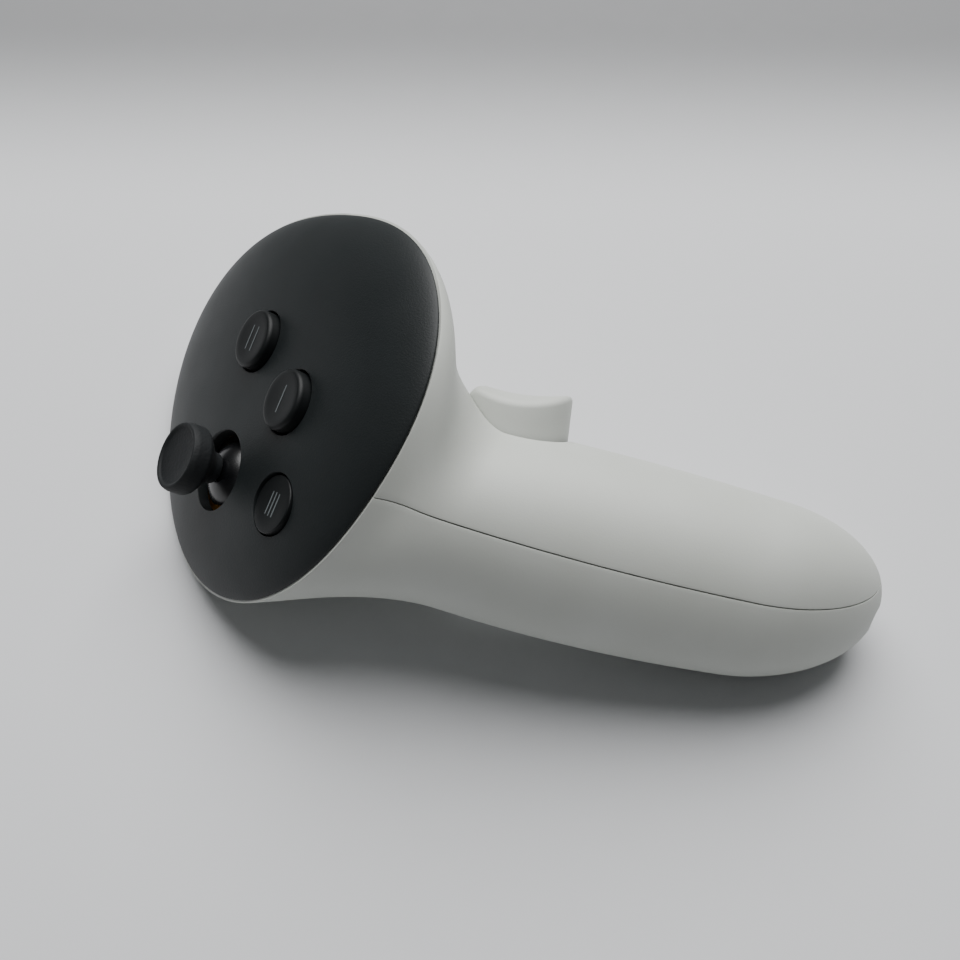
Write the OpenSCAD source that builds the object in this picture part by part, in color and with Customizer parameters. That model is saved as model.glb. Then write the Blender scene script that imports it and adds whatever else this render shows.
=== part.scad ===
// Left-hand motion controller: a round face plate with a thumbstick and buttons,
// on a handle with an index trigger and a grip button.
//
// The pieces are drawn in the hand's frame: X to the right, Y forward (the trigger side) and
// Z up the handle, with the origin in the middle of the face plate's rim.
// lie_down() then lays the whole controller on a table, with its tail towards +X.

/* [Face plate] */
// Width of the face plate across the rim
plate_w = 64.8; // [60:0.1:78]
// Length of the face plate from its back edge to its front edge
plate_l = 74.4; // [70:0.1:82]
// Tilt of the face plate from square across the handle
face_tilt = 43; // [41:0.5:45]
// Height of the middle of the plate above its rim
plate_crown = 4.5; // [4:0.1:6]
// Thickness of the face plate
plate_t = 2; // [1.6:0.1:2.4]
// Hairline between the face plate and the shells
plate_gap = 0.25; // [0.2:0.05:0.4]

/* [Handle] */
// Distance down the handle from the face plate to the neck
neck_drop = 36.4; // [34:0.1:44]
// Length of the handle from the neck to its rounded tail
handle_l = 42.5; // [40:0.1:52]
// Length of the rounded tail
tail_l = 21; // [18:0.1:25]
// Thickness of the shells
wall = 2; // [1.7:0.1:2.4]
// Turn of the seam between the two shells about the handle
seam_turn = -33; // [-36:1:-30]

/* [Buttons] */
// Diameter of the two round action buttons
button_d = 9.8; // [8.2:0.1:11.8]
// Height of the action buttons above the plate
button_rise = 1.7; // [1.3:0.1:2]
// Travel of the action buttons
button_travel = 1.1; // [0.8:0.1:1.3]
// Diameter of the flush menu button
menu_d = 9.2; // [7.8:0.1:11]
// Travel of the menu button
menu_travel = 0.6; // [0.4:0.1:0.8]
// Radial gap around each button
button_gap = 0.3; // [0.3:0.05:0.4]

/* [Thumbstick] */
// Diameter of the thumbstick's cap
stick_cap_d = 11.4; // [9.6:0.1:13.6]
// Height of the cap's top above the rim
stick_h = 12; // [11.5:0.1:13]
// Diameter of the socket in the face plate
socket_d = 13.2; // [12.8:0.1:14]
// Diameter of the stick's steel shaft
shaft_d = 2.4; // [2:0.1:2.9]

/* [Trigger and grip] */
// Width of the index trigger
trigger_w = 15; // [12.5:0.1:17]
// Diameter of the two hinge pins
pin_d = 2; // [1.7:0.1:2.4]
// Running gap around the pins, all round
pin_gap = 0.06; // [0.04:0.01:0.09]
// Length of the grip button along the handle
grip_l = 17.2; // [15:0.1:18.5]
// Half the width of the grip button
grip_half_w = 8.4; // [7.4:0.1:9.2]

/* [Battery] */
// Diameter of the AA cell
cell_d = 14.2; // [13.8:0.1:14.5]
// Length of the AA cell
cell_l = 50; // [48:0.1:50.5]
// Gap around the battery door
door_gap = 0.3; // [0.3:0.05:0.4]

/* [Strap eye] */
// Bore of the strap eye
strap_bore_d = 3; // [2.5:0.1:3.4]
// Length of the bushing in the strap eye
strap_eye_l = 6; // [5:0.1:6.6]

/* [Hidden] */

$fn = 48;
eps = 0.01;
slack = 0.1;       // gap between fixed inner pieces that sit side by side
clear = 0.4;       // gap between a moving piece and what it passes

// ---- colours
charcoal = "#26292c";
off_white = "#e4e4e0";
board_green = "#1f4d3a";
steel = "#b9bcc0";
copper = "#b87333";
inner_grey = "#5b5f63";
black = "#141516";

// ---- the face plate's plane
face_n = [0, -sin(face_tilt), cos(face_tilt)];
face_f = [0, cos(face_tilt), sin(face_tilt)];
right = [1, 0, 0];

// The rim is an ellipse with three small waves that make it egg-shaped.
egg_side = -0.042;
egg_front = -0.025;
egg_square = -0.006;
function egg(a) = 1 + egg_side * cos(3 * a) + egg_front * sin(3 * a) + egg_square * cos(4 * a);
function rim_flat(a) = egg(a) * [plate_w / 2 * cos(a), plate_l / 2 * sin(a)];
function on_plane(p, h = 0) = p[0] * right + p[1] * face_f + h * face_n;

// ---- the handle's cross-sections at the neck, the middle and the tail
section_x = [-5.9, -2.8, 0.65];
section_y = [-7.1, -4.8, -0.5];
section_rx = [14.9, 15.3, 14.45];
section_ry = [16, 14.5, 13.45];
flare_pull_top = 19.8;
flare_pull_neck = 24.9;

function quad3(v, t) = v[0] * (1 - t) * (1 - 2 * t) + v[1] * 4 * t * (1 - t) + v[2] * t * (2 * t - 1);
function quad3_slope(v, t) = v[0] * (4 * t - 3) + v[1] * (4 - 8 * t) + v[2] * (4 * t - 1);
function unit(v) = v / norm(v);

// A point of the handle, at t = 0 for the neck and 1 for the start of the tail
function section(t, a, shrink = 1, t_r = undef) =
    let (tr = is_undef(t_r) ? t : t_r)
    [quad3(section_x, t) + quad3(section_rx, tr) * shrink * cos(a),
     quad3(section_y, t) + quad3(section_ry, tr) * shrink * sin(a),
     -neck_drop - handle_l * t];

function outward(a) = cos(a) * right + sin(a) * face_f;
function flare_start(a) =
    flare_pull_top * (-0.783 * face_n - (0.455 + 0.6 * sin(a) - 0.037 * cos(a)) * outward(a) - 0.166 * face_f);
function flare_end(a) =
    flare_pull_neck / handle_l
    * [quad3_slope(section_x, 0) + quad3_slope(section_rx, 0) * cos(a),
       quad3_slope(section_y, 0) + quad3_slope(section_ry, 0) * sin(a),
       -handle_l];
// The flare between the rim and the neck is a cubic curve at each angle.
function flare(t, a) =
    (2 * pow(t, 3) - 3 * pow(t, 2) + 1) * on_plane(rim_flat(a), -plate_gap)
    + (pow(t, 3) - 2 * pow(t, 2) + t) * flare_start(a)
    + (3 * pow(t, 2) - 2 * pow(t, 3)) * section(0, a)
    + (pow(t, 3) - pow(t, 2)) * flare_end(a);
function tail(t, a) =
    let (w = 90 * t, s = tail_l * sin(w) / handle_l)
    section(1 + s, a, pow(cos(w), 0.9), 1 + s / 2);

// The whole skin, at u = 0 for the rim, 1 for the neck, 2 for the tail and 3 for its tip
function skin_point(u, a) = u < 1 ? flare(u, a) : u < 2 ? section(u - 1, a) : tail(u - 2, a);
function skin_normal(u, a) =
    let (e = 0.004)
    unit(cross(skin_point(u + e, a) - skin_point(max(u - e, 0), a),
               skin_point(u, a + 1) - skin_point(u, a - 1)));

skin_sides = 48;
flare_rings = 12;
handle_rings = 7;
tail_rings = 8;
tail_end = 0.965;
flare_stops = [for (i = [0:flare_rings - 1]) i / flare_rings];
handle_stops = [for (i = [0:handle_rings - 1]) 1 + i / handle_rings];
tail_stops = [for (i = [0:tail_rings]) 2 + tail_end * i / tail_rings];
skin_stops = concat(flare_stops, handle_stops, tail_stops);

function skin_ring(u, inset = 0) =
    [for (i = [0:skin_sides - 1])
        let (a = i * 360 / skin_sides)
        skin_point(u, a) - inset * skin_normal(u, a)];

// A closed solid through a list of rings
module loft(rings) {
    n = len(rings[0]);
    m = len(rings);
    polyhedron(
        points = [for (r = rings) each r],
        faces = concat(
            [[for (i = [n - 1:-1:0]) i]],
            [[for (i = [0:n - 1]) (m - 1) * n + i]],
            [for (j = [0:m - 2], i = [0:n - 1])
                let (a = j * n + i, b = j * n + (i + 1) % n)
                each [[a, b, b + n], [a, b + n, a + n]]]));
}

module skin_solid() {
    loft([for (u = skin_stops) skin_ring(u)]);
}

module skin_cavity(inset) {
    top = skin_ring(0, inset);
    loft(concat([[for (p = top) p + 3 * wall * face_n]], [for (u = skin_stops) skin_ring(u, inset)]));
}

// ---- the seam plane, which runs down the back and the front of the handle
seam_point = [5.1, -4.8, 0];
far = 150;
module seam_side(s) {
    translate(seam_point)
        rotate(seam_turn)
            translate([s > 0 ? 0 : -far, -far, -far])
                cube([far, 2 * far, 2 * far]);
}

// ---- frames
module on_face(p = [0, 0], h = 0) {
    rotate([face_tilt, 0, 0]) translate([p[0], p[1], h]) children();
}

// The handle's own axis runs from the middle of the neck to the middle of the tail.
handle_start = [section_x[0], section_y[0], -neck_drop];
handle_dir = unit([section_x[2] - section_x[0], section_y[2] - section_y[0], -handle_l]);
lean_x = asin(handle_dir[1]);
lean_y = -asin(handle_dir[0] / cos(lean_x));
module on_handle() {
    translate(handle_start) rotate([lean_x, lean_y, 0]) children();
}

// ---- where things are on the face
x_at = [-0.6, -10.6];
y_at = [6.1, 5.3];
menu_at = [-15.5, -16.1];
stick_at = [-15.4, 2.4];

// ---- how the controller lies on the table
lie_angles = [-80.5, -32.5, 84.9];
function turn_x(p, a) = [p[0], p[1] * cos(a) - p[2] * sin(a), p[1] * sin(a) + p[2] * cos(a)];
function turn_y(p, a) = [p[0] * cos(a) + p[2] * sin(a), p[1], p[2] * cos(a) - p[0] * sin(a)];
function turn_z(p, a) = [p[0] * cos(a) - p[1] * sin(a), p[0] * sin(a) + p[1] * cos(a), p[2]];
function lain(p) = turn_z(turn_y(turn_x(p, lie_angles[0]), lie_angles[1]), lie_angles[2]);
skin_lain = [for (u = skin_stops) each [for (p = skin_ring(u)) lain(p)]];
function low(i) = min([for (p = skin_lain) p[i]]);
function high(i) = max([for (p = skin_lain) p[i]]);
cap_reach = lain(on_plane(stick_at, stick_h))[0] - stick_cap_d / 2 * sqrt(1 - pow(lain(face_n)[0], 2));
lie_low = [min(low(0), cap_reach), low(1), low(2)];
lie_high = [high(0), high(1), high(2)];
lie_shift = [-(lie_low[0] + lie_high[0]) / 2, -(lie_low[1] + lie_high[1]) / 2, -lie_low[2]];
module lie_down() {
    translate(lie_shift) rotate(lie_angles) children();
}
function placed(p) = lain(p) + lie_shift;

// ---- the plate's section, from its middle (s = 0) to its rim (s = 1)
plate_roll = 3.2;
plate_round = 0.72;
plate_rim_gap = 0.35;   // how far the plate's edge stays inside the shells' rim
function plate_top(s) = plate_crown * pow(1 - pow(s, plate_roll), plate_round);
plate_rings = 9;
plate_under_end = 0.9;
function plate_ring(s, h) =
    [for (i = [0:skin_sides - 1])
        let (a = i * 360 / skin_sides, f = rim_flat(a))
        on_plane(f * s * (1 - plate_rim_gap / norm(f)), h)];
plate_stops = [for (i = [1:plate_rings]) sin(90 * i / plate_rings)];
plate_under = [for (i = [plate_rings - 3:-1:1]) plate_under_end * sin(90 * i / (plate_rings - 2))];

// How far out a point of the face is, as a share of the rim, and the plate's height there
function face_s(p) = let (a = atan2(p[1] / plate_l, p[0] / plate_w)) norm(p) / norm(rim_flat(a));
function face_h(p) = plate_top(face_s(p));

// ---- the thumbstick's gimbal
pivot_h = -2.6;
case_half = 5.2;
case_wall = 0.7;
case_top = -1.2;
case_low = -6.3;
yoke_r = 4.1;
yoke_in_r = 3.5;
yoke_h = 1.6;
trunnion_r = 0.5;
rocker_r = 3.15;
rocker_cut = 1.6;
dome_r = 7.2;
dome_t = 0.6;
dome_edge = 48;
stem_low = 4.7;
shaft_low = -4.1;
shaft_high = stick_h - 2.5;

// ---- boards, stacked under the plate
board_top = -6.4;
board_t = 1.2;
pad_board_top = -2.4;
pad_board_t = 0.8;
pad_t = 0.8;
dome_h = 0.4;
post_at = [[12, -17], [-4.5, -19.5], [-18, -6.5]];
post_r = 2;
post_bore_r = 0.7;
led_inner = 0.66;
led_outer = 0.75;
led_top = -1.6;
led_t = 0.8;
led_angles = [12, 60, 100, 145, 172, 262, 300, 338];

// ---- the trigger
trigger_x = 0.5;
trigger_pivot = [11, 1.5];
barrel_r = 2.6;
barrel_x = [-3, 6.7];
ear_t = 1.4;
ear_x = [-7.2, 7];
trigger_round = 9.8;
trigger_tilt = 14.8;
trigger_tip = [24.3, -18.2];
trigger_window = [-21.8, 7.2];

// ---- the grip button
grip_at = [9, -4.5, -36.5];
grip_turn = 73.7;
grip_pivot = [-13, 0.14];
grip_low = -2.7;
grip_waist = 5.4;        // height of the lowest point of the finger hollow
grip_hollow_r = 30;
grip_hollow_at = 1.5;
grip_arc_r = 11;
grip_barrel_r = 2.2;
grip_barrel_w = [-1.2, 3.2];
grip_ear_w = [-4.9, 3.5];
grip_ear_t = 1.4;

// ---- the battery bay, in the handle's frame
door_turn = 115;
cell_shift = 3.2;
cell_top = -0.4;
tray_wall = 1.2;
tray_slack = 0.25;
door_half_w = 9.5;
door_depth = 3;
door_ends = [0.8, -51.2];

// ---- the strap eye
eye_at = [4, 8.8, -94];
eye_turn = -45.6;
eye_wall = 1;

// ======== casing ========

module plate_solid() {
    upper = [for (s = plate_stops) plate_ring(s, plate_top(s))];
    edge = [plate_ring(1, -plate_gap), plate_ring(plate_under_end, -plate_gap)];
    under = [for (s = plate_under) plate_ring(s, plate_top(s) - plate_t)];
    loft(concat(upper, edge, under));
}

module button_hole(at, d) {
    on_face(at, -1) cylinder(d = d + 2 * button_gap, h = 12);
}

// Dark domed plate with the holes for the controls and the posts for the main board
module face_plate() {
    lie_down() color(charcoal) {
        difference() {
            plate_solid();
            button_hole(x_at, button_d);
            button_hole(y_at, button_d);
            button_hole(menu_at, menu_d);
            on_face(stick_at, -1) cylinder(d = socket_d, h = 12);
        }
        for (p = post_at) on_face(p, board_top) difference() {
            cylinder(r = post_r, h = face_h(p) - plate_t / 2 - board_top);
            translate([0, 0, -eps]) cylinder(r = post_bore_r, h = 4);
        }
    }
}

module trigger_opening() {
    half = trigger_w / 2 + clear;
    translate([trigger_x - half, 7, trigger_window[0]])
        cube([2 * half, 25, trigger_window[1] - trigger_window[0]]);
}

module on_grip() {
    translate(grip_at) rotate([0, grip_turn, 0]) children();
}

// The grip's outline: two arcs that meet towards its ends, cut square at each end
module grip_outline(grow) {
    shift = grip_arc_r - grip_half_w;
    intersection() {
        translate([0, shift]) circle(r = grip_arc_r + grow);
        translate([0, -shift]) circle(r = grip_arc_r + grow);
        square([grip_l + 2 * grow, 4 * grip_half_w], center = true);
    }
}

module grip_opening() {
    for (d = [0, 0.7]) on_grip() translate([d, 0, -6]) linear_extrude(16) grip_outline(clear);
}

module door_block(gap) {
    on_handle() rotate(door_turn)
        translate([door_depth, -door_half_w + gap, door_ends[1] + gap])
            cube([20, 2 * (door_half_w - gap), door_ends[0] - door_ends[1] - 2 * gap]);
}

module on_strap_eye() {
    translate(eye_at) rotate([eye_turn, 0, 0]) children();
}

module half_shell(side) {
    intersection() {
        difference() {
            skin_solid();
            skin_cavity(wall);
            trigger_opening();
            grip_opening();
            door_block(0);
            on_strap_eye() cylinder(d = strap_bore_d + 2 * eye_wall, h = strap_eye_l, center = true);
            on_strap_eye() cylinder(d = strap_bore_d + 1, h = 30, center = true);
        }
        seam_side(side);
    }
}

// Lower shell, on the palm's side, with the trigger's window and the battery opening
module left_shell() {
    lie_down() color(off_white) half_shell(-1);
}

// Upper shell, on the fingers' side, with the grip button's opening
module right_shell() {
    lie_down() color(off_white) half_shell(1);
}

door_rings = [for (u = skin_stops) if (u > 0.6 && u < 2.8) u];
module battery_door() {
    lie_down() color(off_white) intersection() {
        difference() {
            loft([for (u = door_rings) skin_ring(u)]);
            loft([for (u = door_rings) skin_ring(u, wall)]);
        }
        door_block(door_gap);
    }
}

// Bushed hole through the tail for the wrist strap
module strap_eye() {
    lie_down() color(inner_grey) on_strap_eye() difference() {
        cylinder(d = strap_bore_d + 2 * eye_wall - 0.04, h = strap_eye_l - 0.04, center = true);
        cylinder(d = strap_bore_d, h = 20, center = true);
    }
}

// ======== battery bay ========

cell_r = cell_d / 2;
cell_low = cell_top - cell_l;
module on_cell() {
    on_handle() rotate(door_turn) translate([cell_shift, 0, 0]) children();
}

// Trough that carries the cell, open towards the door
module battery_tray() {
    inner = cell_r + tray_slack;
    lie_down() color(inner_grey) on_cell() difference() {
        translate([0, 0, cell_low]) cylinder(r = inner + tray_wall, h = cell_l);
        translate([0, 0, cell_low - 1]) cylinder(r = inner, h = cell_l + 2);
        translate([0, -20, cell_low - 1]) cube([40, 40, cell_l + 2]);
    }
}

module battery_cell() {
    lie_down() color("#3d5a73") on_cell() {
        translate([0, 0, cell_low]) cylinder(d = cell_d, h = cell_l - 1);
        translate([0, 0, cell_top - 1]) cylinder(d = 5.5, h = 1);
    }
}

module contact_plus() {
    lie_down() color(steel) on_cell()
        translate([-4, -4, cell_top + slack]) cube([8, 8, 0.5]);
}

// Cone spring behind the cell's flat end, drawn as joined turns of wire
module contact_spring() {
    turns = 4;
    pitch = 0.6;
    lie_down() color(steel) on_cell() for (i = [0:turns - 1])
        translate([0, 0, cell_low - slack - 0.4 - i * pitch])
            rotate_extrude() translate([4 - 0.3 * i, 0]) circle(r = 0.4, $fn = 16);
}

// ======== electronics ========

board_outline = [[-20, 2.4], [-21, -8], [-18, -21], [-9, -28], [3, -28], [11, -21], [14.5, -12], [13, 2.4]];
module main_board() {
    lie_down() color(board_green) on_face([0, 0], board_top - board_t) difference() {
        linear_extrude(board_t - slack) polygon(board_outline);
        for (p = post_at) translate([p[0], p[1], -1]) cylinder(r = post_bore_r + 0.2, h = 4);
    }
}

board_low = board_top - board_t;
module main_chips() {
    lie_down() color(black) on_face([0, 0], board_low - 1) {
        translate([-12, -18, 0]) cube([7, 7, 1 - slack / 2]);
        translate([-16, -10, 0]) cube([4, 3, 1 - slack / 2]);
        translate([-3, -8, 0]) cube([3, 3, 1 - slack / 2]);
        translate([4, -6, 0]) cube([5, 4, 1 - slack / 2]);
    }
}

module shield_can() {
    can = [9, 8, 1.3];
    lie_down() color(steel) on_face([-3, -25], board_low - can[2] - slack / 2) difference() {
        cube(can);
        translate([0.3, 0.3, 0.3]) cube([can[0] - 0.6, can[1] - 0.6, can[2]]);
    }
}

module radio_antenna() {
    lie_down() color(copper) on_face([0, 0], board_top) {
        translate([-14, -25.6 + 4, 0]) cube([7, 1, 2.4]);
        translate([-14, -21.6, 0]) cube([1, 4, 0.6]);
    }
}

module board_screws() {
    lie_down() color(steel) for (p = post_at) on_face(p, board_low - 1.2) {
        cylinder(r = 1.5, h = 1.1);
        cylinder(r = post_bore_r - 0.05, h = 1.2 + board_t + 3);
    }
}

pad_outline = [[-20, -13], [-20, -20], [-12, -20.5], [-9, -17.5], [3, -15], [11, 0], [11, 9], [4, 10],
               [-1, 2], [-8.5, -6.5], [-10, -11]];
module button_board() {
    lie_down() color(board_green) on_face([0, 0], pad_board_top - pad_board_t)
        linear_extrude(pad_board_t - slack / 2) polygon(pad_outline);
}

// Rubber pad with a dome under each button
module dome_pad() {
    lie_down() color("#8b8f94") {
        on_face([0, 0], pad_board_top) linear_extrude(pad_t) offset(delta = -0.3) polygon(pad_outline);
        for (p = [x_at, y_at]) on_face(p, pad_board_top) cylinder(r = 2.6, h = pad_t + dome_h);
    }
}

// A round key with a flange under the plate and a stem over its dome
module key(at, d, rise, travel) {
    top = face_h(at) + rise;
    flange_top = face_h(at * (1 + (d / 2 + 1) / norm(at))) - plate_t - 0.5;
    low = flange_top - 0.8;
    edge = 0.5;
    stem_end = min(low - 0.1, pad_board_top + pad_t + dome_h + clear + travel);
    on_face(at, 0) rotate_extrude() polygon([
        [0, stem_end], [1.4, stem_end], [1.4, low], [d / 2 + 0.8, low], [d / 2 + 0.8, flange_top],
        [d / 2, flange_top], [d / 2, top - edge], [d / 2 - edge, top], [0, top]]);
}

module x_button() {
    lie_down() color(charcoal) key(x_at, button_d, button_rise, button_travel);
}

module y_button() {
    lie_down() color(charcoal) key(y_at, button_d, button_rise, button_travel);
}

module menu_button() {
    lie_down() color(charcoal) key(menu_at, menu_d, 0.1, menu_travel);
}

function ring_outline(k) = [for (a = [0:7.5:352.5]) rim_flat(a) * k];
module led_ring() {
    lie_down() color("#a5772c") {
        on_face([0, 0], led_top - led_t) linear_extrude(led_t) difference() {
            polygon(ring_outline(led_outer));
            polygon(ring_outline(led_inner));
            translate(menu_at) circle(r = 8);
            translate(stick_at) circle(r = 8.5);
        }
        for (a = [35, 122, 195, 320]) {
            p = rim_flat(a) * (led_inner + led_outer) / 2;
            on_face(p, led_top - led_t / 2) cylinder(r = 0.9, h = face_h(p) - plate_t - 0.3 - led_top + led_t / 2);
        }
    }
}

module tracking_leds() {
    lie_down() color("#2a1030") for (a = led_angles)
        on_face(rim_flat(a) * (led_inner + led_outer) / 2, led_top) rotate(a)
            translate([-0.8, -1.2, 0]) cube([1.6, 2.4, 0.7]);
}

// Touch pad under the plate where the thumb rests
module thumb_sensor() {
    lie_down() color(copper) on_face([13, -6], face_h([17, -6]) - plate_t - 0.6) cylinder(r = 4.2, h = 0.3);
}

// ======== thumbstick ========

module on_stick(h = 0) {
    on_face(stick_at, h) children();
}

module along_x() {
    rotate([0, 90, 0]) children();
}

module along_y() {
    rotate([90, 0, 0]) children();
}

module stick_case() {
    inner = case_half - case_wall;
    lie_down() color(steel) on_stick() difference() {
        translate([-case_half, -case_half, case_low]) cube([2 * case_half, 2 * case_half, case_top - case_low]);
        translate([-inner, -inner, case_low + case_wall]) cube([2 * inner, 2 * inner, 10]);
        translate([0, 0, pivot_h]) along_x() cylinder(r = trunnion_r + pin_gap, h = 20, center = true);
    }
}

// Outer gimbal ring, which tilts about X on two stub pins
module stick_yoke_ring() {
    translate([0, 0, -yoke_h / 2]) difference() {
        cylinder(r = yoke_r, h = yoke_h);
        translate([0, 0, -1]) cylinder(r = yoke_in_r, h = yoke_h + 2);
    }
}

module stick_yoke() {
    lie_down() color(inner_grey) on_stick(pivot_h) {
        difference() {
            stick_yoke_ring();
            along_y() cylinder(r = trunnion_r + pin_gap, h = 20, center = true);
        }
        for (s = [-1, 1]) translate([s * (yoke_in_r + case_half - 0.2) / 2, 0, 0])
            along_x() cylinder(r = trunnion_r, h = case_half - yoke_in_r - 0.4, center = true);
    }
}

// Inner rocker, which tilts about the fore-and-aft axis inside the ring
module stick_rocker() {
    lie_down() color("#d9d9d6") on_stick(pivot_h) difference() {
        union() {
            intersection() {
                sphere(r = rocker_r);
                translate([-5, -5, -rocker_cut]) cube([10, 10, 2 * rocker_cut]);
            }
            along_y() cylinder(r = trunnion_r, h = yoke_in_r + yoke_r - 0.1, center = true);
        }
        cylinder(d = shaft_d + 2 * pin_gap, h = 20, center = true);
    }
}

module stick_shaft() {
    lie_down() color(steel) on_stick(shaft_low) cylinder(d = shaft_d, h = shaft_high - shaft_low);
}

// Cap with a dished top, a straight gripping edge and a tapered underside
module stick_cap() {
    r = stick_cap_d / 2;
    lie_down() color(charcoal) on_stick() difference() {
        rotate_extrude() polygon([
            [0, stem_low], [2.5, stem_low], [2.7, stick_h - 6], [r - 0.3, stick_h - 3.6],
            [r, stick_h - 3], [r, stick_h - 1], [r - 0.35, stick_h], [r - 0.7, stick_h],
            [r - 1.1, stick_h - 0.35], [0, stick_h - 0.7]]);
        translate([0, 0, stem_low - 1]) cylinder(d = shaft_d + 0.04, h = shaft_high - stem_low + 1 + eps);
    }
}

// Thin dome that hides the gimbal and tilts with the stick
module stick_dust_cover() {
    lie_down() color(black) on_stick(pivot_h) difference() {
        intersection() {
            sphere(r = dome_r);
            translate([-10, -10, dome_r * cos(dome_edge)]) cube([20, 20, 20]);
        }
        sphere(r = dome_r - dome_t);
        cylinder(d = shaft_d + 0.04, h = 20);
    }
}

module stick_sensor_x() {
    lie_down() color(black) on_stick()
        translate([case_half + slack, -2.5, case_low + 0.6]) cube([1.5, 5, 3.8]);
}

module stick_sensor_y() {
    lie_down() color(black) on_stick()
        translate([-2.5, -case_half - slack - 1.5, case_low + 0.6]) cube([5, 1.5, 3.8]);
}

module stick_click_switch() {
    lie_down() color(steel) on_stick(case_low + case_wall) cylinder(r = 1.2, h = 0.3);
}

// ======== index trigger ========

module on_trigger_pin() {
    translate([0, trigger_pivot[0], trigger_pivot[1]]) along_x() children();
}

trigger_profile = [[12, 4], [19, 5.2], [20.6, 1.5], [21.2, -4], [21.9, -9], [23.1, -14], trigger_tip,
                   trigger_tip + [-0.5, -1.3], trigger_tip + [-2.2, -1.6], [18.2, -16.5], [15.5, -10],
                   [13.4, -5], [11.5, -1.1]];

// Lever with a curved finger face, rounded across, on a barrel that turns on its pin
module index_trigger() {
    lie_down() color(off_white) difference() {
        union() {
            intersection() {
                translate([trigger_x - trigger_w / 2, 0, 0]) rotate([90, 0, 90])
                    linear_extrude(trigger_w) polygon(trigger_profile);
                translate([trigger_x, trigger_tip[0] - trigger_round, trigger_tip[1]])
                    rotate([trigger_tilt, 0, 0]) cylinder(r = trigger_round, h = 100, center = true);
            }
            on_trigger_pin() translate([0, 0, barrel_x[0]]) cylinder(r = barrel_r, h = barrel_x[1] - barrel_x[0]);
        }
        on_trigger_pin() cylinder(r = pin_d / 2 + pin_gap, h = 60, center = true);
        // room for the spring and the ears beside the barrel
        on_trigger_pin() translate([0, 0, barrel_x[0] - 20]) cylinder(r = 4.2, h = 20);
        on_trigger_pin() translate([0, 0, barrel_x[1]]) cylinder(r = 4.2, h = 20);
        translate([4, 14.6, -8]) rotate([-90, 0, 0]) cylinder(r = 1.6, h = 2);
    }
}

bracket_y = [7.6, 8.8];
module trigger_bracket() {
    lie_down() color(inner_grey) difference() {
        union() {
            for (x = ear_x) {
                on_trigger_pin() translate([0, 0, x]) cylinder(r = 3.2, h = ear_t);
                translate([x, bracket_y[0], -6]) cube([ear_t, 2.8, 7.5]);
            }
            translate([ear_x[0], bracket_y[0], -13])
                cube([ear_x[1] + ear_t - ear_x[0], bracket_y[1] - bracket_y[0], 9]);
        }
        on_trigger_pin() cylinder(r = pin_d / 2 + eps, h = 60, center = true);
    }
}

module trigger_pin() {
    lie_down() color(steel) on_trigger_pin()
        translate([0, 0, ear_x[0]]) cylinder(d = pin_d, h = ear_x[1] + ear_t - ear_x[0]);
}

// Torsion spring, drawn as joined turns with a leg at each end
wire_r = 0.3;
leg_r = 0.22;
module torsion_spring(r, turns, leg_a, leg_b) {
    pitch = 1.8 * wire_r;
    for (i = [0:turns - 1]) translate([0, 0, i * pitch])
        rotate_extrude() translate([r, 0]) circle(r = wire_r, $fn = 16);
    translate([0, r, 0]) rotate([0, 90, 0]) cylinder(r = leg_r, h = leg_a, $fn = 24);
    translate([0, -r, (turns - 1) * pitch]) rotate([0, 90, 0]) cylinder(r = leg_r, h = leg_b, $fn = 24);
}

module trigger_spring() {
    lie_down() color(steel) on_trigger_pin() translate([0, 0, -5.3]) torsion_spring(1.85, 4, 2.6, 4.5);
}

magnet_r = 1.5;
magnet_t = 1.6;
module trigger_magnet() {
    lie_down() color(steel) translate([4, 14.9, -8]) rotate([-90, 0, 0]) cylinder(r = magnet_r, h = magnet_t);
}

module trigger_sensor() {
    lie_down() color(black) translate([2.2, bracket_y[1] + slack / 2, -10.5]) cube([3.6, 1.3, 3.4]);
}

// ======== grip button ========

module on_grip_pin() {
    on_grip() translate([grip_pivot[0], 0, grip_pivot[1]]) rotate([-90, 0, 0]) children();
}

module grip_pocket(grow) {
    on_grip() translate([-5, 0, grip_low - 1]) cylinder(r = magnet_r + grow, h = magnet_t + 1);
}

// Saddle-shaped key on an arm that turns on its pin under the shell
module grip_button() {
    lie_down() color(off_white) difference() {
        union() {
            on_grip() intersection() {
                translate([0, 0, grip_low]) linear_extrude(14) grip_outline(0);
                difference() {
                    translate([-20, -20, grip_low]) cube([40, 40, 14]);
                    translate([grip_hollow_at, 0, grip_waist + grip_hollow_r]) along_y()
                        cylinder(r = grip_hollow_r, h = 40, center = true, $fn = 96);
                    // the head end slopes down to the shell
                    translate([-grip_l / 2 + 2.6, -20, 5.9]) rotate([0, 55, 0]) translate([-20, 0, 0])
                        cube([20, 40, 20]);
                }
            }
            on_grip() translate([grip_pivot[0], grip_barrel_w[0], grip_pivot[1] - 1.9])
                cube([6, grip_barrel_w[1] - grip_barrel_w[0], 3]);
            on_grip_pin() translate([0, 0, grip_barrel_w[0]])
                cylinder(r = grip_barrel_r, h = grip_barrel_w[1] - grip_barrel_w[0]);
        }
        on_grip_pin() cylinder(r = pin_d / 2 + pin_gap, h = 60, center = true);
        grip_pocket(0.05);
    }
}

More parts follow.
